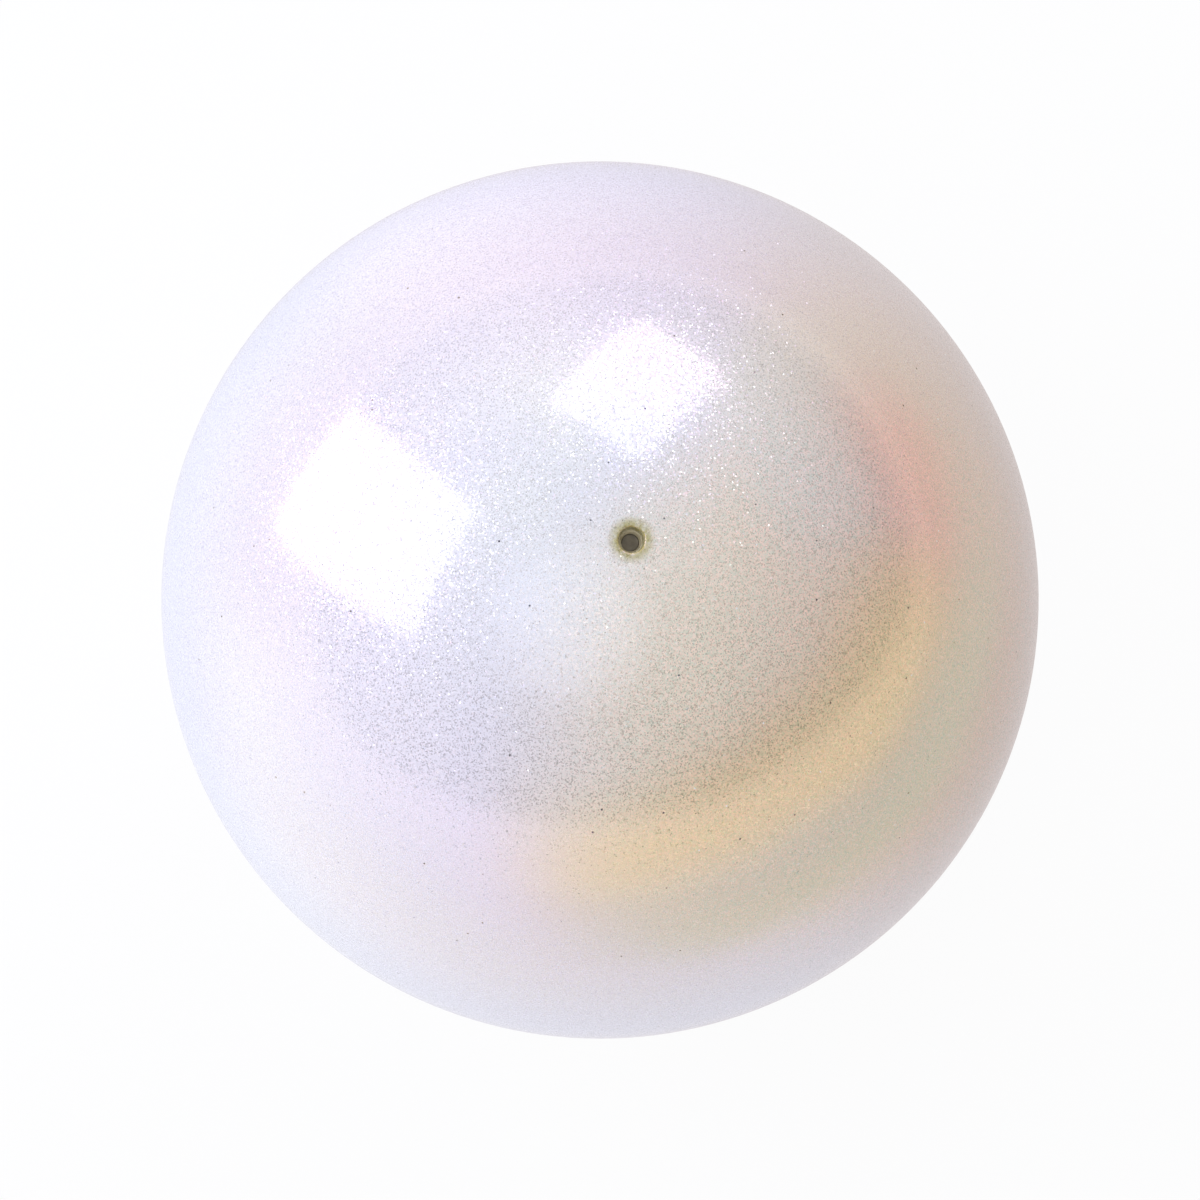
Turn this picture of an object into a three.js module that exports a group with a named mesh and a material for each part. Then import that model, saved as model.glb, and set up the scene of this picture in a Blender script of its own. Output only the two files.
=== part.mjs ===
// Rhythmic gymnastics ball: a seamless moulded rubber shell, a soft valve bush bonded into a boss
// on the inside of its wall, and the tapered plug that stops the bush.
// Millimetres, +Z up along the valve axis, origin at the centre of the ball.
import * as THREE from 'three';

// Ball
const ballDiameter = 185;
const wallThickness = 3.25;

// Valve hole through the wall: its mouth on the skin, the rounded edge there, and how far each
// side draws in on the way to the bush
const mouthDiameter = 5.2;
const mouthRounding = 0.45;
const neckTaper = 0.25;

// Bore of the bush: the ring of bush that shows round it, a short lead-in, then the plug's seat
const lipWidth = 0.27;
const leadInDepth = 1.3;
const leadInTaper = 0.23;
const seatTaper = 0.4;

// Body of the bush: barrel in the boss, flange against the boss, tail that hangs inside the ball.
// The rounding of the flange's edges takes at most this share of the flange's thickness.
const barrelWall = 2.9;
const barrelChamfer = 0.4;
const flangeWidth = 4;
const flangeThickness = 1.6;
const flangeRounding = 0.5;
const flangeRoundingLimit = 0.45;
const tailLength = 7.5;
const tailWall = 1.9;

// Boss that thickens the wall inside, around the bush
const bossHeight = 3.5;
const bossMargin = 2;
const bossFlare = 4.5;

// Plug: a peg with the taper of its seat, whose flat end shows at the bottom of the valve hole
const plugReach = 0.4;
const plugEdgeRounding = 0.2;
const plugTipRounding = 0.6;

// Gaps between pieces that fit in each other or seat on each other
const barrelGap = 0.1;
const seatGap = 0.1;
const plugGap = 0.1;

// Facets
const shellSides = 64;
const outerSteps = 32;
const innerSteps = 32;
const bushSides = 48;
const plugSides = 32;
const filletSteps = 4;
const flareSteps = 5;

// Radii that follow from the sizes above
const ballRadius = ballDiameter / 2;
const innerRadius = ballRadius - wallThickness;
const mouthRadius = mouthDiameter / 2;
const neckRadius = mouthRadius - neckTaper;
const boreRadius = neckRadius - lipWidth;
const seatTopRadius = boreRadius - leadInTaper;
const seatEndRadius = seatTopRadius - seatTaper;
const barrelRadius = boreRadius + barrelWall;
const socketRadius = barrelRadius + barrelGap;
const flangeRadius = barrelRadius + flangeWidth;
const bossRadius = flangeRadius + bossMargin;

// Heights along the valve axis, from the skin inwards
const shoulderHeight = innerRadius;
const bushTop = shoulderHeight - seatGap;
const plugTop = bushTop - leadInDepth;
const bossFace = shoulderHeight - bossHeight;
const flangeTop = bossFace - seatGap;
const flangeBottom = flangeTop - flangeThickness;
const tailEnd = flangeBottom - tailLength;
const plugTip = tailEnd - plugReach;

// Radius of the bush's tapered seat at a height on the valve axis.
function seatRadius(height) {
  return THREE.MathUtils.mapLinear(height, plugTop, tailEnd, seatTopRadius, seatEndRadius);
}

// A point of a profile: distance from the valve axis, and height along it.
function at(radius, height) {
  return new THREE.Vector2(radius, height);
}

// Points of an arc between two angles in radians, counted from the horizontal.
function arc(centre, radius, from, to, steps) {
  return new THREE.EllipseCurve(centre.x, centre.y, radius, radius, from, to, to < from).getPoints(steps);
}

// A solid turned about the valve axis, from a profile drawn with the material on its left.
function turned(profile, sides) {
  return new THREE.LatheGeometry(profile, sides).rotateX(Math.PI / 2);
}

// The boss's flank: an S-curve from its flat face to the inside of the wall, tangent to both.
function bossFlank() {
  const rootRadius = bossRadius + bossFlare;
  const rootAngle = Math.acos(rootRadius / innerRadius);
  const root = at(rootRadius, innerRadius * Math.sin(rootAngle));
  const alongWall = at(Math.sin(rootAngle), -Math.cos(rootAngle));
  const flank = new THREE.CubicBezierCurve(
    at(bossRadius, bossFace),
    at(bossRadius + bossFlare / 2, bossFace),
    root.clone().addScaledVector(alongWall, -bossFlare / 2),
    root,
  );
  return { points: flank.getPoints(flareSteps), rootAngle };
}

// The hollow ball with its valve hole, socket and boss. The profile runs up the outside from the
// bottom, in through the valve hole and back down the inside, so the air space opens at the valve.
function shellGeometry() {
  const centre = at(0, 0);
  const lipRadius = mouthRadius + mouthRounding;
  const lip = at(lipRadius, Math.sqrt((ballRadius - mouthRounding) ** 2 - lipRadius ** 2));
  const lipAngle = lip.angle();
  const flank = bossFlank();
  return turned([
    ...arc(centre, ballRadius, -Math.PI / 2, lipAngle, outerSteps),
    ...arc(lip, mouthRounding, lipAngle, Math.PI, filletSteps).slice(1),
    at(neckRadius, shoulderHeight),
    at(socketRadius, shoulderHeight),
    at(socketRadius, bossFace),
    ...flank.points,
    ...arc(centre, innerRadius, flank.rootAngle, -Math.PI / 2, innerSteps).slice(1),
  ], shellSides);
}

// The bush: a flanged sleeve whose bore leads in and then tapers to grip the plug.
function bushGeometry() {
  const rounding = Math.min(flangeRounding, flangeRoundingLimit * flangeThickness);
  const flangeEdge = flangeRadius - rounding;
  return turned([
    at(boreRadius, bushTop),
    at(seatTopRadius, plugTop),
    at(seatEndRadius, tailEnd),
    at(seatEndRadius + tailWall, tailEnd),
    at(seatTopRadius + tailWall, flangeBottom),
    ...arc(at(flangeEdge, flangeBottom + rounding), rounding, -Math.PI / 2, 0, filletSteps),
    ...arc(at(flangeEdge, flangeTop - rounding), rounding, 0, Math.PI / 2, filletSteps),
    at(barrelRadius, flangeTop),
    at(barrelRadius, bushTop - barrelChamfer),
    at(barrelRadius - barrelChamfer, bushTop),
    at(boreRadius, bushTop),
  ], bushSides);
}

// The plug: a tapered peg with a flat outer end and a rounded tip.
function plugGeometry() {
  const edge = at(seatTopRadius - plugGap - plugEdgeRounding, plugTop - plugEdgeRounding);
  const tipHeight = plugTip + plugTipRounding;
  const tip = at(seatRadius(tipHeight) - plugGap - plugTipRounding, tipHeight);
  return turned([
    at(0, plugTip),
    ...arc(tip, plugTipRounding, -Math.PI / 2, 0, filletSteps),
    ...arc(edge, plugEdgeRounding, 0, Math.PI / 2, filletSteps),
    at(0, plugTop),
  ], plugSides);
}

function piece(name, geometry, finish) {
  const mesh = new THREE.Mesh(geometry, new THREE.MeshStandardMaterial(finish));
  mesh.name = name;
  return mesh;
}

const valve = new THREE.Group();
valve.add(
  piece('valve_bush', bushGeometry(), { color: 0xb7aa86, roughness: 0.6, metalness: 0 }),
  piece('valve_plug', plugGeometry(), { color: 0x54504b, roughness: 0.7, metalness: 0 }),
);

const ball = new THREE.Group();
ball.add(
  piece('ball_shell', shellGeometry(), { color: 0xe6e0e8, roughness: 0.25, metalness: 0.1 }),
  valve,
);

export default ball;
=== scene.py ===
import math

import bmesh
import bpy
from mathutils import Euler, Matrix, Vector


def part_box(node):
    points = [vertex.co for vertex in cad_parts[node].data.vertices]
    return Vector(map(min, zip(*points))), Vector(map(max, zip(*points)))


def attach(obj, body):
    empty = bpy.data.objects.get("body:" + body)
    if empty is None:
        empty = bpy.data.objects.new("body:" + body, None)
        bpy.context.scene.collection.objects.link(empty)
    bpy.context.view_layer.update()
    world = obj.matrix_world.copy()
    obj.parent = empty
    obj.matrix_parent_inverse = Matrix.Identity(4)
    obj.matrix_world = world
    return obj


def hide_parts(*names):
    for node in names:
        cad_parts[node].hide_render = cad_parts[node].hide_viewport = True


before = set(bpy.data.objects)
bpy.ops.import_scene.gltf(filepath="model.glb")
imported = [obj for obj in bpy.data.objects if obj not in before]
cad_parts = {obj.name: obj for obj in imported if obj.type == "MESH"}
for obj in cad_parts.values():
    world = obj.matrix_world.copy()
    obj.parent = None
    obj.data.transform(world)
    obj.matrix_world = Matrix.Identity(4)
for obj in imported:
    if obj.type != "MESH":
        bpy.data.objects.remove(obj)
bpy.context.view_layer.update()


# Turned pieces: a few profile points in the XZ plane, spun about the valve axis.

mergeDistance = 1e-6
ringTolerance = 1e-5
sharpAngle = math.radians(40)


def profileLine(bm, corners):
    line = [bm.verts.new((radius, 0, height)) for radius, height in corners]
    for start, end in zip(line, line[1:]):
        bm.edges.new((start, end))
    return line


def profileArc(bm, start, sweep, steps):
    # an arc about the ball's centre, swept from the valve towards the bottom
    bmesh.ops.spin(bm, geom=[start], cent=(0, 0, 0), axis=(0, 1, 0), angle=sweep, steps=steps)


def spinProfile(bm, around):
    bmesh.ops.remove_doubles(bm, verts=bm.verts, dist=mergeDistance)
    bmesh.ops.spin(
        bm, geom=bm.verts[:] + bm.edges[:], cent=(0, 0, 0), axis=(0, 0, 1),
        angle=2 * math.pi, steps=around, use_merge=True,
    )
    bmesh.ops.remove_doubles(bm, verts=bm.verts, dist=mergeDistance)
    bmesh.ops.recalc_face_normals(bm, faces=bm.faces)


def roundEdge(bm, corner, width, segments=4):
    # rounds the ring of edges that the spin made from one corner of the profile
    radius, height = corner

    def onRing(vert):
        outBy = abs(vert.co.xy.length - radius)
        upBy = abs(vert.co.z - height)
        return max(outBy, upBy) < ringTolerance

    ring = [edge for edge in bm.edges if all(onRing(vert) for vert in edge.verts)]
    bmesh.ops.bevel(
        bm, geom=ring, offset=width, offset_type="OFFSET", segments=segments,
        profile=0.5, affect="EDGES", material=-1, clamp_overlap=True,
    )


def finishPiece(bm, name, material, body, node):
    for face in bm.faces:
        face.smooth = True
    mesh = bpy.data.meshes.new(name)
    bm.to_mesh(mesh)
    bm.free()
    mesh.set_sharp_from_angle(angle=sharpAngle)
    mesh.materials.append(material)
    piece = bpy.data.objects.new(name, mesh)
    bpy.context.scene.collection.objects.link(piece)
    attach(piece, body)
    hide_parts(node)
    print(name, "built,", len(mesh.polygons), "faces")


# Node helpers

def addNode(tree, kind, **values):
    node = tree.nodes.new(kind)
    for key, value in values.items():
        if hasattr(node, key):
            setattr(node, key, value)
        else:
            node.inputs[key].default_value = value
    return node


def math2(tree, operation, first, second):
    node = addNode(tree, "ShaderNodeMath", operation=operation)
    for socket, value in zip(node.inputs, (first, second)):
        if isinstance(value, (int, float)):
            socket.default_value = value
        else:
            tree.links.new(value, socket)
    return node.outputs[0]


def vectorMath(tree, operation, first, second=None, output="Vector"):
    node = addNode(tree, "ShaderNodeVectorMath", operation=operation)
    for socket, value in zip(node.inputs, (first, second)):
        if value is None:
            continue
        if isinstance(value, (tuple, list)):
            socket.default_value = value
        else:
            tree.links.new(value, socket)
    return node.outputs[output]


def scaled(tree, vector, amount):
    node = addNode(tree, "ShaderNodeVectorMath", operation="SCALE")
    tree.links.new(vector, node.inputs[0])
    if isinstance(amount, (int, float)):
        node.inputs["Scale"].default_value = amount
    else:
        tree.links.new(amount, node.inputs["Scale"])
    return node.outputs[0]


def mixColour(tree, factor, first, second, blend="MIX"):
    node = addNode(tree, "ShaderNodeMix", data_type="RGBA", blend_type=blend)
    for socket, value in zip((node.inputs[0], node.inputs[6], node.inputs[7]), (factor, first, second)):
        if isinstance(value, (int, float)):
            socket.default_value = value
        elif isinstance(value, (tuple, list)):
            socket.default_value = (*value, 1)
        else:
            tree.links.new(value, socket)
    return node.outputs[2]


def remap(tree, value, fromLow, fromHigh, toLow=0.0, toHigh=1.0, smooth=True):
    node = addNode(tree, "ShaderNodeMapRange", interpolation_type="SMOOTHSTEP" if smooth else "LINEAR")
    tree.links.new(value, node.inputs["Value"])
    for socket, number in zip(node.inputs[1:5], (fromLow, fromHigh, toLow, toHigh)):
        socket.default_value = number
    return node.outputs[0]


def newGroup(name, inputs, outputs):
    group = bpy.data.node_groups.new(name, "ShaderNodeTree")
    for label, kind in inputs:
        group.interface.new_socket(label, in_out="INPUT", socket_type=kind)
    for label, kind in outputs:
        group.interface.new_socket(label, in_out="OUTPUT", socket_type=kind)
    return group, group.nodes.new("NodeGroupInput"), group.nodes.new("NodeGroupOutput")


def useGroup(tree, group, **values):
    node = tree.nodes.new("ShaderNodeGroup")
    node.node_tree = group
    for label, value in values.items():
        socket = node.inputs[label]
        if isinstance(value, bpy.types.NodeSocket):
            tree.links.new(value, socket)
        else:
            socket.default_value = value
    return node


def newMaterial(name):
    material = bpy.data.materials.new(name)
    material.use_nodes = True
    tree = material.node_tree
    shader = tree.nodes["Principled BSDF"]
    where = tree.nodes.new("ShaderNodeTexCoord").outputs["Object"]
    return material, tree, shader, where


# Shared effects

midGrey = (0.5, 0.5, 0.5)           # middle of a random colour's range
mottling = {"detail": 3.0, "roughness": 0.6, "range": (0.3, 0.7)}
fineGrain = {"detail": 2.0, "roughness": 0.5}


def makeSoftZone():
    # a soft-edged round zone on the ball, about a direction from its centre
    group, given, result = newGroup(
        "softZone",
        [("Direction", "NodeSocketVector"), ("Towards", "NodeSocketVector"),
         ("Edge", "NodeSocketFloat"), ("Core", "NodeSocketFloat")],
        [("Mask", "NodeSocketFloat")],
    )
    facing = vectorMath(group, "DOT_PRODUCT", given.outputs["Direction"], None, "Value")
    group.links.new(given.outputs["Towards"], facing.node.inputs[1])
    spread = addNode(group, "ShaderNodeMapRange", interpolation_type="SMOOTHERSTEP")
    group.links.new(facing, spread.inputs["Value"])
    group.links.new(given.outputs["Edge"], spread.inputs["From Min"])
    group.links.new(given.outputs["Core"], spread.inputs["From Max"])
    group.links.new(spread.outputs[0], result.inputs["Mask"])
    return group


def makeRingBand():
    # a soft-edged ring about the valve axis, given in radians from it
    group, given, result = newGroup(
        "ringBand",
        [("Direction", "NodeSocketVector"), ("Radius", "NodeSocketFloat"), ("Width", "NodeSocketFloat")],
        [("Mask", "NodeSocketFloat")],
    )
    upright = vectorMath(group, "DOT_PRODUCT", given.outputs["Direction"], (0, 0, 1), "Value")
    angle = math2(group, "ARCCOSINE", upright, 0.0)
    away = math2(group, "ABSOLUTE", math2(group, "SUBTRACT", angle, given.outputs["Radius"]), 0.0)
    inside = math2(group, "SUBTRACT", 1.0, math2(group, "DIVIDE", away, given.outputs["Width"]))
    spread = addNode(group, "ShaderNodeMapRange", interpolation_type="SMOOTHERSTEP")
    group.links.new(inside, spread.inputs["Value"])
    group.links.new(spread.outputs[0], result.inputs["Mask"])
    return group


def makeFlakeField():
    # one random tint, shine and tilt for each flake of glitter
    group, given, result = newGroup(
        "flakeField",
        [("Vector", "NodeSocketVector"), ("Size", "NodeSocketFloat"), ("Tilt", "NodeSocketFloat"),
         ("Rarity", "NodeSocketFloat"), ("Least", "NodeSocketFloat"),
         ("Warm", "NodeSocketColor"), ("Cool", "NodeSocketColor")],
        [("Tint", "NodeSocketColor"), ("Shine", "NodeSocketFloat"), ("Normal", "NodeSocketVector")],
    )
    cells = addNode(group, "ShaderNodeTexVoronoi", feature="F1")
    group.links.new(given.outputs["Vector"], cells.inputs["Vector"])
    perMetre = math2(group, "DIVIDE", 1.0, given.outputs["Size"])
    group.links.new(perMetre, cells.inputs["Scale"])
    chance = addNode(group, "ShaderNodeTexWhiteNoise", noise_dimensions="3D")
    group.links.new(cells.outputs["Position"], chance.inputs["Vector"])
    shine = chance.outputs["Value"]
    lean = vectorMath(group, "SUBTRACT", cells.outputs["Color"], midGrey)
    # most flakes lie nearly flat and a few lean far
    odds = group.nodes.new("ShaderNodeSeparateColor")
    group.links.new(chance.outputs["Color"], odds.inputs[0])
    far = math2(group, "POWER", odds.outputs["Green"], given.outputs["Rarity"])
    loose = math2(group, "ADD", far, given.outputs["Least"])
    lean = scaled(group, lean, math2(group, "MULTIPLY", loose, given.outputs["Tilt"]))
    straight = group.nodes.new("ShaderNodeNewGeometry").outputs["Normal"]
    tilted = vectorMath(group, "NORMALIZE", vectorMath(group, "ADD", straight, lean))
    tint = mixColour(group, odds.outputs["Blue"], given.outputs["Cool"], given.outputs["Warm"])
    group.links.new(tint, result.inputs["Tint"])
    group.links.new(shine, result.inputs["Shine"])
    group.links.new(tilted, result.inputs["Normal"])
    return group


def makeSpecks():
    # small dots thinly sown through the lacquer
    group, given, result = newGroup(
        "specks",
        [("Vector", "NodeSocketVector"), ("Spacing", "NodeSocketFloat"), ("Radius", "NodeSocketFloat")],
        [("Mask", "NodeSocketFloat")],
    )
    dots = addNode(group, "ShaderNodeTexVoronoi", feature="F1")
    group.links.new(given.outputs["Vector"], dots.inputs["Vector"])
    group.links.new(math2(group, "DIVIDE", 1.0, given.outputs["Spacing"]), dots.inputs["Scale"])
    reach = math2(group, "DIVIDE", given.outputs["Radius"], given.outputs["Spacing"])
    inside = math2(group, "LESS_THAN", dots.outputs["Distance"], reach)
    group.links.new(inside, result.inputs["Mask"])
    return group


def makeSpot():
    # one dot about a point
    group, given, result = newGroup(
        "spot",
        [("Vector", "NodeSocketVector"), ("Centre", "NodeSocketVector"), ("Radius", "NodeSocketFloat")],
        [("Mask", "NodeSocketFloat")],
    )
    away = vectorMath(group, "DISTANCE", given.outputs["Vector"], given.outputs["Centre"], "Value")
    group.links.new(math2(group, "LESS_THAN", away, given.outputs["Radius"]), result.inputs["Mask"])
    return group


def makeRubberGrain():
    # mottling and a fine moulded grain for bare rubber
    group, given, result = newGroup(
        "rubberGrain",
        [("Vector", "NodeSocketVector"), ("Dark", "NodeSocketColor"), ("Pale", "NodeSocketColor"),
         ("Mottle", "NodeSocketFloat"), ("Grain", "NodeSocketFloat")],
        [("Colour", "NodeSocketColor"), ("Height", "NodeSocketFloat")],
    )
    clouds, fine = (
        addNode(group, "ShaderNodeTexNoise", Detail=noise["detail"], Roughness=noise["roughness"])
        for noise in (mottling, fineGrain)
    )
    for noise, label in ((clouds, "Mottle"), (fine, "Grain")):
        group.links.new(given.outputs["Vector"], noise.inputs["Vector"])
        group.links.new(math2(group, "DIVIDE", 1.0, given.outputs[label]), noise.inputs["Scale"])
    share = remap(group, clouds.outputs["Fac"], *mottling["range"])
    colour = mixColour(group, share, given.outputs["Dark"], given.outputs["Pale"])
    group.links.new(colour, result.inputs["Colour"])
    group.links.new(fine.outputs["Fac"], result.inputs["Height"])
    return group


softZone = makeSoftZone()
ringBand = makeRingBand()
flakeField = makeFlakeField()
specks = makeSpecks()
spot = makeSpot()
rubberGrain = makeRubberGrain()
print("shared effects ready")


# Pearl skin of the ball

pearl = {
    "lilac": (0.87, 0.88, 0.98),
    "cream": (0.88, 0.90, 0.90),
    "cloudScale": 2.2,
    "cloudDetail": 2.0,
    "cloudRange": (0.35, 0.65),     # of the clouds, from lilac to cream
    "wander": 0.10,                 # how far the zones' edges stray
    # pastel zones of the lacquer, partly its own hue and partly painted light: lilac sheen where the lamps
    # reflect, darker warm painted shade on the side away from them and crescents of painted reflection
    # fringe; degrees round the valve axis from +X, degrees above the equator and half-angle, and for a
    # crescent the ring it is cut from, in degrees from the valve
    "pastelSheenAndShadeZones": {
        # the two lilac zones paint sheen where the softboxes reflect
        "lilacSheenLeft": {"tint": (0.71, 0.70, 0.89), "round": 163, "above": 9, "half": 82},
        "lilacSheenBack": {"tint": (0.82, 0.77, 0.99), "round": 88, "above": 23, "half": 55},
        "mistFront": {"tint": (0.86, 0.83, 0.99), "round": 274, "above": 32, "half": 83},
        "sand": {"tint": (0.92, 0.83, 0.70), "round": 321, "above": 60, "half": 44},
        "dew": {"tint": (0.84, 0.87, 0.84), "round": 26, "above": 55, "half": 24},
        # painted shade: darker rose on the side away from the lamps
        "roseShade": {"tint": (0.78, 0.63, 0.61), "round": 6, "above": 8, "half": 80},
        # the crescents paint the coloured fringe of reflection where the reflected horizon lies
        "coral": {"tint": (0.86, 0.60, 0.57), "round": 358, "above": 45, "half": 34, "ring": (40, 13)},
        "apricot": {"tint": (0.85, 0.67, 0.48), "round": 318, "above": 50, "half": 34, "ring": (38, 20)},
        "honey": {"tint": (0.92, 0.78, 0.50), "round": 302, "above": 42, "half": 47, "ring": (41, 17)},
        "sage": {"tint": (0.75, 0.76, 0.68), "round": 313, "above": 16, "half": 64, "ring": (51, 14)},
        "sky": {"tint": (0.82, 0.84, 0.99), "round": 220, "above": 15, "half": 45, "ring": (51, 21)},
    },
    "flakeSize": 0.00025,
    "flakeTilt": 0.75,
    "leanRarity": 3.5,              # the higher, the fewer flakes lean far
    "leastLean": 0.05,
    "flakeWarm": (1.00, 0.58, 0.56),
    "flakeCool": (0.12, 0.42, 0.37),
    "flakeTint": (0.015, 0.22),     # strength of those tints away from the warm side and on it
    "warmSide": {"round": 331, "above": 49, "half": 57},
    "flakeShine": 0.62,             # metallic share of the brightest flakes
    "flakeShare": 0.45,             # of the flakes that shine
    "roughness": 0.09,
    "ior": 2.1,                     # of the pearl pigment
    "filmIor": 1.2,                 # of the thin layer whose interference gives the pastel hues
    "filmThickness": 370.0,         # nanometres
    "coat": 0.35,
    "coatIor": 1.5,
    "coatRoughness": 0.04,
    "speckSpacing": 0.0060,
    "speckRadius": 0.00022,
    "speckTint": (0.10, 0.09, 0.085),
    # painted glints: white dots in the colour that stand for flakes catching a lamp
    "paintedGlintSpacing": 0.0047,
    "paintedGlintRadius": 0.00020,
    "paintedGlintTint": (1.0, 1.0, 1.0),
    "marks": [(0.0064, 0.0043), (-0.0080, 0.0038)],  # two specks beside the valve
    "markRadius": 0.00018,
    "haloInner": 0.0028,            # stain of bare rubber round the valve hole
    "haloOuter": 0.0053,
    "haloGrain": 0.0009,
    "haloDetail": 4.0,
    "haloRoughness": 0.7,
    "haloRange": (0.3, 0.6),        # of its grain, from thin to full
    "haloThin": 0.45,               # strength of the stain where it is thinnest
    "haloTint": (0.50, 0.44, 0.16),
}


def zoneMask(tree, direction, zone):
    towards = Vector((1, 0, 0))
    towards.rotate(Euler((0, -math.radians(zone["above"]), math.radians(zone["round"]))))
    edge = math.cos(math.radians(zone["half"]))
    mask = useGroup(tree, softZone, Direction=direction, Towards=towards, Edge=edge, Core=1.0)
    return mask.outputs["Mask"]


def cloudsWithPaintedSheenAndShade(tree, outward, cloud):
    # the lacquer's clouds with zones of painted sheen and painted shade over them, and the direction that
    # the zones are read in
    stray = vectorMath(tree, "SUBTRACT", cloud.outputs["Color"], midGrey)
    stray = scaled(tree, stray, pearl["wander"])
    strayed = vectorMath(tree, "NORMALIZE", vectorMath(tree, "ADD", outward, stray))
    # the lower half repeats the zones of the upper half
    axes = addNode(tree, "ShaderNodeSeparateXYZ")
    tree.links.new(strayed, axes.inputs[0])
    folded = addNode(tree, "ShaderNodeCombineXYZ")
    tree.links.new(axes.outputs["X"], folded.inputs["X"])
    tree.links.new(axes.outputs["Y"], folded.inputs["Y"])
    tree.links.new(math2(tree, "ABSOLUTE", axes.outputs["Z"], 0.0), folded.inputs["Z"])
    direction = folded.outputs[0]
    drift = remap(tree, cloud.outputs["Fac"], *pearl["cloudRange"])
    colour = mixColour(tree, drift, pearl["lilac"], pearl["cream"])
    # each zone paints its tint over the clouds, as painted sheen, painted shade and painted reflection
    # fringes
    for zone in pearl["pastelSheenAndShadeZones"].values():
        mask = zoneMask(tree, direction, zone)
        if "ring" in zone:
            radius, width = (math.radians(angle) for angle in zone["ring"])
            band = useGroup(tree, ringBand, Direction=direction, Radius=radius, Width=width)
            mask = math2(tree, "MULTIPLY", mask, band.outputs["Mask"])
        colour = mixColour(tree, mask, colour, zone["tint"])
    return colour, direction


def addSpecksAndPaintedGlints(tree, where, colour):
    # dark specks and painted white glints, sown by chance, and the specks beside the valve
    dots = useGroup(tree, specks, Vector=where, Spacing=pearl["speckSpacing"], Radius=pearl["speckRadius"])
    dotted = dots.outputs["Mask"]
    for mark in pearl["marks"]:
        centre = (*mark, math.sqrt(shell["radius"] ** 2 - Vector(mark).length_squared))
        dot = useGroup(tree, spot, Vector=where, Centre=centre, Radius=pearl["markRadius"])
        dotted = math2(tree, "MAXIMUM", dotted, dot.outputs["Mask"])
    colour = mixColour(tree, dotted, colour, pearl["speckTint"])
    # painted glints: white dots where flakes would catch a lamp
    paintedGlints = useGroup(tree, specks, Vector=where, Spacing=pearl["paintedGlintSpacing"], Radius=pearl["paintedGlintRadius"])
    return mixColour(tree, paintedGlints.outputs["Mask"], colour, pearl["paintedGlintTint"])


def addStain(tree, where, colour):
    # bare rubber shows through in patches round the valve hole
    flat = vectorMath(tree, "MULTIPLY", where, (1, 1, 0))
    fromAxis = vectorMath(tree, "LENGTH", flat, None, "Value")
    halo = remap(tree, fromAxis, pearl["haloInner"], pearl["haloOuter"], 1.0, 0.0)
    patchy = addNode(
        tree, "ShaderNodeTexNoise", Scale=1 / pearl["haloGrain"],
        Detail=pearl["haloDetail"], Roughness=pearl["haloRoughness"],
    )
    tree.links.new(where, patchy.inputs["Vector"])
    strength = remap(tree, patchy.outputs["Fac"], *pearl["haloRange"], pearl["haloThin"], 1.0)
    halo = math2(tree, "MULTIPLY", halo, strength)
    above = addNode(tree, "ShaderNodeSeparateXYZ")
    tree.links.new(where, above.inputs[0])
    onTop = math2(tree, "GREATER_THAN", above.outputs["Z"], 0.0)
    return mixColour(tree, math2(tree, "MULTIPLY", halo, onTop), colour, pearl["haloTint"])


def makePearlSkin():
    material, tree, shader, where = newMaterial("pearlSkin")
    outward = vectorMath(tree, "NORMALIZE", where)
    cloud = addNode(tree, "ShaderNodeTexNoise", Scale=pearl["cloudScale"], Detail=pearl["cloudDetail"])
    tree.links.new(outward, cloud.inputs["Vector"])
    # clouds of the lacquer, with zones of painted sheen and painted shade over them
    colour, direction = cloudsWithPaintedSheenAndShade(tree, outward, cloud)
    flakes = useGroup(
        tree, flakeField, Vector=where, Size=pearl["flakeSize"], Tilt=pearl["flakeTilt"],
        Rarity=pearl["leanRarity"], Least=pearl["leastLean"],
        Warm=(*pearl["flakeWarm"], 1), Cool=(*pearl["flakeCool"], 1),
    )
    fleck = remap(tree, zoneMask(tree, direction, pearl["warmSide"]), 0.0, 1.0, *pearl["flakeTint"])
    colour = mixColour(tree, fleck, colour, flakes.outputs["Tint"], "LINEAR_LIGHT")
    colour = addSpecksAndPaintedGlints(tree, where, colour)
    colour = addStain(tree, where, colour)
    tree.links.new(colour, shader.inputs["Base Color"])
    tree.links.new(flakes.outputs["Normal"], shader.inputs["Normal"])
    shine = remap(tree, flakes.outputs["Shine"], 1 - pearl["flakeShare"], 1.0, 0.0, pearl["flakeShine"])
    tree.links.new(shine, shader.inputs["Metallic"])
    shader.inputs["Roughness"].default_value = pearl["roughness"]
    shader.inputs["IOR"].default_value = pearl["ior"]
    shader.inputs["Thin Film Thickness"].default_value = pearl["filmThickness"]
    shader.inputs["Thin Film IOR"].default_value = pearl["filmIor"]
    shader.inputs["Coat Weight"].default_value = pearl["coat"]
    shader.inputs["Coat IOR"].default_value = pearl["coatIor"]
    shader.inputs["Coat Roughness"].default_value = pearl["coatRoughness"]
    return material


# Bare rubber of the bush and the plug

def makeRubber(name, piece):
    material, tree, shader, where = newMaterial(name)
    grain = useGroup(
        tree, rubberGrain, Vector=where, Dark=(*piece["dark"], 1), Pale=(*piece["pale"], 1),
        Mottle=piece["mottle"], Grain=piece["grain"],
    )
    bump = addNode(tree, "ShaderNodeBump", Strength=piece["bump"], Distance=piece["bumpHeight"])
    tree.links.new(grain.outputs["Height"], bump.inputs["Height"])
    tree.links.new(bump.outputs[0], shader.inputs["Normal"])
    tree.links.new(grain.outputs["Colour"], shader.inputs["Base Color"])
    shader.inputs["Roughness"].default_value = piece["roughness"]
    return material


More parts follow.
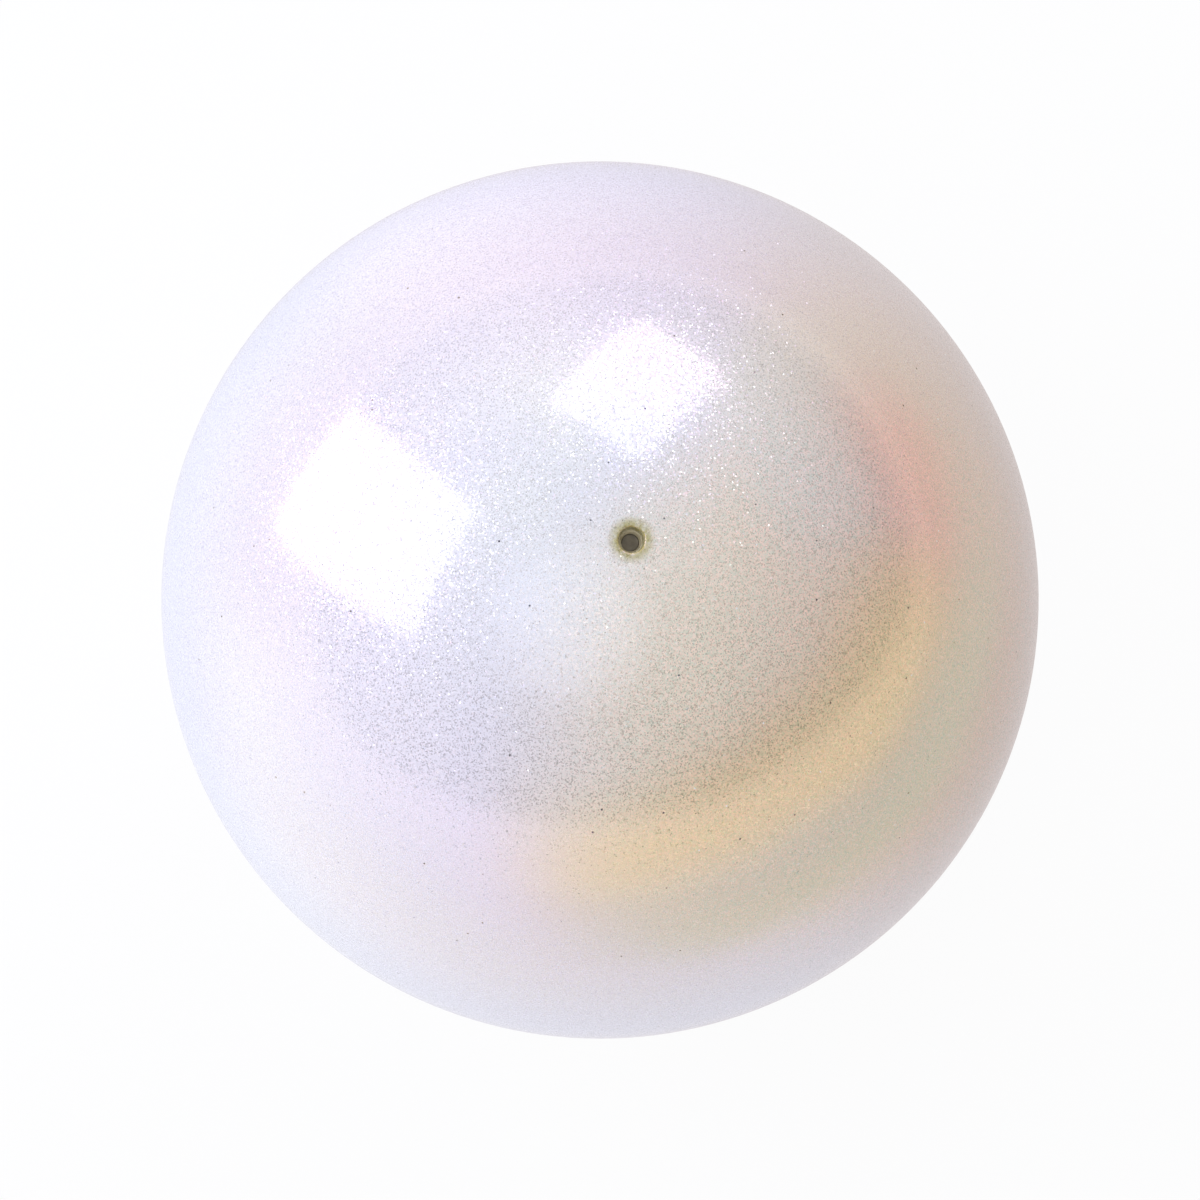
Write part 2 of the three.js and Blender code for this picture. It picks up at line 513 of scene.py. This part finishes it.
# Ball shell

shell = {
    "radius": 0.0925,              # of the skin
    "wall": 0.00325,
    "mouthRadius": 0.0026,         # valve hole at the skin
    "mouthRounding": 0.00045,
    "mouthSegments": 6,
    "neckRadius": 0.00235,         # valve hole where the bush starts
    "socketGap": 0.0001,           # round the bush's barrel
    "bossMargin": 0.002,           # of the boss's face round the bush's flange
    "bossFlare": 0.0045,
    "bossRounding": 0.0015,
    "bossHeight": 0.0035,
    "around": 192,
    "outerSteps": 96,
    "innerSteps": 64,
}

bush = {
    "boreRadius": 0.00208,
    "seatTopRadius": 0.00185,
    "seatEndRadius": 0.00145,
    "beadRadius": 0.00180,         # of the bead that closes on the plug's end
    "beadHeight": 0.00050,
    "beadSlope": 0.00009,          # how far its top reaches past the seat
    "beadRounding": 0.000045,
    "grooveShare": 1 / 3,          # of the bead's height that the groove round it dips
    "barrelRadius": 0.00498,
    "tailWall": 0.0019,
    "flangeThickness": 0.0016,
    "bossGap": 0.0001,
    "lipRounding": 0.00018,
    "rounding": 0.0004,
    "around": 96,
    "dark": (0.58, 0.52, 0.36),
    "pale": (0.82, 0.77, 0.62),
    "mottle": 0.002,
    "grain": 0.0002,
    "bump": 0.2,
    "bumpHeight": 0.0001,
    "roughness": 0.35,
}
bushLow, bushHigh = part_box("valve_bush")
plugLow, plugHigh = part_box("valve_plug")
flangeRadius = bushHigh.x


def bossFaceHeight():
    return shell["radius"] - shell["wall"] - shell["bossHeight"]


def makeShell():
    inner = shell["radius"] - shell["wall"]
    bossRadius = flangeRadius + shell["bossMargin"]
    rootRadius = bossRadius + shell["bossFlare"]
    socketRadius = bush["barrelRadius"] + shell["socketGap"]
    bossFace = bossFaceHeight()
    mouth = (shell["mouthRadius"], math.sqrt(shell["radius"] ** 2 - shell["mouthRadius"] ** 2))
    neck = (shell["neckRadius"], inner)
    root = (rootRadius, math.sqrt(inner ** 2 - rootRadius ** 2))
    bossEdge = (bossRadius, bossFace)
    bm = bmesh.new()
    line = profileLine(bm, [mouth, neck, (socketRadius, inner), (socketRadius, bossFace), bossEdge, root])
    profileArc(bm, line[0], math.pi - math.asin(mouth[0] / shell["radius"]), shell["outerSteps"])
    profileArc(bm, line[-1], math.pi - math.asin(rootRadius / inner), shell["innerSteps"])
    spinProfile(bm, shell["around"])
    roundEdge(bm, mouth, shell["mouthRounding"], shell["mouthSegments"])
    roundEdge(bm, bossEdge, shell["bossRounding"])
    roundEdge(bm, root, shell["bossRounding"])
    finishPiece(bm, "ballShell", makePearlSkin(), "ball", "ball_shell")


# Valve bush

def makeBush():
    flangeTop = bossFaceHeight() - bush["bossGap"]
    flangeBottom = flangeTop - bush["flangeThickness"]
    lip = (bush["boreRadius"], bushHigh.z)
    tailEdge = (bush["seatEndRadius"] + bush["tailWall"], bushLow.z)
    flangeUpper = (flangeRadius, flangeTop)
    flangeLower = (flangeRadius, flangeBottom)
    barrelEdge = (bush["barrelRadius"], bushHigh.z)
    beadTop = plugHigh.z + bush["beadHeight"]
    grooveRadius = (bush["seatTopRadius"] + bush["boreRadius"]) / 2
    groove = (grooveRadius, beadTop - bush["beadHeight"] * bush["grooveShare"])
    beadOuter = (bush["seatTopRadius"] + bush["beadSlope"], beadTop)
    beadInner = (bush["beadRadius"], beadTop)
    bm = bmesh.new()
    profileLine(bm, [
        lip, groove, beadOuter, beadInner, (bush["beadRadius"], plugHigh.z),
        (bush["seatTopRadius"], plugHigh.z), (bush["seatEndRadius"], bushLow.z), tailEdge,
        (bush["seatTopRadius"] + bush["tailWall"], flangeBottom), flangeLower, flangeUpper,
        (bush["barrelRadius"], flangeTop), barrelEdge, lip,
    ])
    spinProfile(bm, bush["around"])
    roundEdge(bm, lip, bush["lipRounding"])
    roundEdge(bm, beadInner, bush["beadRounding"])
    for corner in (tailEdge, flangeLower, flangeUpper, barrelEdge):
        roundEdge(bm, corner, bush["rounding"])
    finishPiece(bm, "valveBush", makeRubber("bushRubber", bush), "ball", "valve_bush")


# Valve plug

plug = {
    "radius": 0.00175,
    "tipRadius": 0.00133,
    "edgeRounding": 0.0002,
    "tipRounding": 0.0006,
    "around": 64,
    "dark": (0.20, 0.185, 0.165),
    "pale": (0.29, 0.27, 0.245),
    "mottle": 0.0012,
    "grain": 0.00015,
    "bump": 0.25,
    "bumpHeight": 0.0001,
    "roughness": 0.65,
}


def makePlug():
    tipEdge = (plug["tipRadius"], plugLow.z)
    topEdge = (plug["radius"], plugHigh.z)
    bm = bmesh.new()
    profileLine(bm, [(0, plugLow.z), tipEdge, topEdge, (0, plugHigh.z)])
    spinProfile(bm, plug["around"])
    roundEdge(bm, tipEdge, plug["tipRounding"])
    roundEdge(bm, topEdge, plug["edgeRounding"])
    finishPiece(bm, "valvePlug", makeRubber("plugRubber", plug), "plug", "valve_plug")


makeShell()
makeBush()
makePlug()


# Stage: floor, world, lamps and camera

stage = {
    "floorSize": 30.0,
    "floorColour": (0.85, 0.86, 0.95),
    "mirroredFloorLit": (0.95, 0.94, 1.00),   # the floor in reflections, near white on the lamps' side
    "mirroredFloorShade": (0.73, 0.66, 0.64),  # and with a darker painted shade across from them
    "floorAcross": (0.96, 0.28, 0),    # from the one side to the other
    "shadow": 0.06,                    # share of the lit floor that shows under the white
    "skyBand": 0.95,                   # pale band that the floor fades into
    "bandTop": 0.30,                   # sine of its height
    "cardUp": (-0.11, 0.42, 0.90),     # white card on the camera's side, below this tilted level
    "cardEdge": 0.09,
    "domeUp": (-0.32, 0.63, 0.70),     # the dome brightens towards this
    "domeLow": -0.6,                   # cosines from it at which the dome is darkest and brightest
    "domeTop": 1.0,
    "skyLow": 0.08,
    "skyHigh": 0.67,
    "glow": 0.7,                       # soft bright patch overhead
    "glowZone": {"round": 230, "above": 72, "half": 26},
    "skyColour": (0.98, 0.97, 0.94),
    "softboxColour": (0.94, 0.97, 1.0),
}

lamps = [
    {"name": "leftSoftbox", "place": (-0.79, 0.24, 0.35), "facing": (0.845, -0.010, -0.535),
     "side": (0.28, 0.86, 0.43), "size": (0.52, 0.85), "radiance": 3.2},
    {"name": "backSoftbox", "place": (0.10, 0.67, 0.60), "facing": (-0.03, -0.53, -0.85),
     "side": (0.64, 0.64, -0.42), "size": (0.55, 0.41), "radiance": 2.7},
    {"name": "frontFill", "place": (0.0, -0.60, 0.05), "facing": (0.0, 1.0, 0.0),
     "side": (1.0, 0.0, 0.0), "size": (1.4, 0.30), "radiance": 0.25, "fillOnly": True},
    {"name": "topFill", "place": (-0.32, -0.38, 1.50), "facing": (0.20, 0.24, -0.95),
     "side": (1.0, 0.0, 0.0), "size": (0.80, 0.90), "radiance": 0.62, "fillOnly": True},
    {"name": "leftFill", "place": (-0.55, -0.55, 0.15), "facing": (0.707, 0.707, -0.1),
     "side": (0.707, -0.707, 0.0), "size": (0.80, 0.45), "radiance": 0.60, "fillOnly": True},
]

camera = {
    "towards": (-0.0665, -0.128, 0.9896),   # from the ball's centre to the lens
    "distance": 1.2,
    "discShare": 438.7 / 600,               # of the half frame that the ball's disc takes
    "sensor": 36.0,
}


def makeFloor():
    material, tree, shader, where = newMaterial("paleFloor")
    tree.nodes.remove(shader)
    lit = addNode(tree, "ShaderNodeBsdfDiffuse", Color=(*stage["floorColour"], 1))
    # the camera sees the floor white and the ball mirrors it with painted shade across from the lamps, while
    # other light finds it lit
    bright = addNode(tree, "ShaderNodeEmission", Strength=1.0)
    path = tree.nodes.new("ShaderNodeLightPath")
    outward = vectorMath(tree, "NORMALIZE", vectorMath(tree, "MULTIPLY", where, (1, 1, 0)))
    across = vectorMath(tree, "DOT_PRODUCT", outward, stage["floorAcross"], "Value")
    across = remap(tree, across, -1.0, 1.0, smooth=False)
    # painted shade in the floor as the ball mirrors it, darker across from the lamps
    mirrored = mixColour(tree, across, stage["mirroredFloorLit"], stage["mirroredFloorShade"])
    shown = mixColour(tree, path.outputs["Is Glossy Ray"], (1, 1, 1), mirrored)
    tree.links.new(shown, bright.inputs["Color"])
    seen = math2(tree, "MAXIMUM", path.outputs["Is Camera Ray"], path.outputs["Is Glossy Ray"])
    seen = math2(tree, "MAXIMUM", seen, path.outputs["Is Transmission Ray"])
    mix = tree.nodes.new("ShaderNodeMixShader")
    tree.links.new(math2(tree, "MULTIPLY", seen, 1 - stage["shadow"]), mix.inputs[0])
    tree.links.new(lit.outputs[0], mix.inputs[1])
    tree.links.new(bright.outputs[0], mix.inputs[2])
    tree.links.new(mix.outputs[0], tree.nodes["Material Output"].inputs["Surface"])
    bm = bmesh.new()
    bmesh.ops.create_grid(bm, x_segments=1, y_segments=1, size=stage["floorSize"] / 2)
    bmesh.ops.translate(bm, verts=bm.verts, vec=(0, 0, -shell["radius"]))
    mesh = bpy.data.meshes.new("floor")
    bm.to_mesh(mesh)
    bm.free()
    mesh.materials.append(material)
    floor = bpy.data.objects.new("floor", mesh)
    bpy.context.scene.collection.objects.link(floor)


def makeWorld():
    world = bpy.data.worlds.new("studio")
    world.use_nodes = True
    bpy.context.scene.world = world
    tree = world.node_tree
    background = tree.nodes["Background"]
    where = tree.nodes.new("ShaderNodeTexCoord").outputs["Generated"]
    height = tree.nodes.new("ShaderNodeSeparateXYZ")
    tree.links.new(where, height.inputs[0])
    band = remap(tree, height.outputs["Z"], 0.0, stage["bandTop"], stage["skyBand"], 0.0)
    lifted, raised = (
        vectorMath(tree, "DOT_PRODUCT", where, tuple(Vector(stage[up]).normalized()), "Value")
        for up in ("cardUp", "domeUp")
    )
    card = remap(tree, lifted, -stage["cardEdge"], stage["cardEdge"], stage["skyBand"], 0.0)
    band = math2(tree, "MAXIMUM", band, card)
    dome = remap(
        tree, raised, stage["domeLow"], stage["domeTop"], stage["skyLow"], stage["skyHigh"], smooth=False,
    )
    glow = math2(tree, "MULTIPLY", zoneMask(tree, where, stage["glowZone"]), stage["glow"])
    level = math2(tree, "MAXIMUM", band, math2(tree, "ADD", dome, glow))
    background.inputs["Color"].default_value = (*stage["skyColour"], 1)
    tree.links.new(level, background.inputs["Strength"])


def makeLamps():
    for lamp in lamps:
        light = bpy.data.lights.new(lamp["name"], "AREA")
        light.shape = "RECTANGLE"
        light.color = stage["softboxColour"]
        light.size, light.size_y = lamp["size"]
        light.energy = lamp["radiance"] * math.pi * light.size * light.size_y  # watts for that radiance
        holder = bpy.data.objects.new(lamp["name"], light)
        holder.visible_glossy = not lamp.get("fillOnly", False)
        back = -Vector(lamp["facing"]).normalized()
        side = Vector(lamp["side"]).normalized()
        turn = Matrix((side, back.cross(side), back)).transposed()
        holder.matrix_world = Matrix.Translation(lamp["place"]) @ turn.to_4x4()
        bpy.context.scene.collection.objects.link(holder)


def makeCamera():
    lens = bpy.data.cameras.new("camera")
    lens.sensor_width = camera["sensor"]
    edge = math.tan(math.asin(shell["radius"] / camera["distance"]))
    lens.lens = camera["sensor"] / 2 * camera["discShare"] / edge
    holder = bpy.data.objects.new("camera", lens)
    back = Vector(camera["towards"]).normalized()
    right = Vector((0, 1, 0)).cross(back).normalized()
    turn = Matrix((right, back.cross(right), back)).transposed()
    holder.matrix_world = Matrix.Translation(back * camera["distance"]) @ turn.to_4x4()
    bpy.context.scene.collection.objects.link(holder)
    bpy.context.scene.camera = holder


makeFloor()
makeWorld()
makeLamps()
makeCamera()
bpy.context.scene.view_settings.view_transform = "Standard"
print("stage, lamps and camera ready")
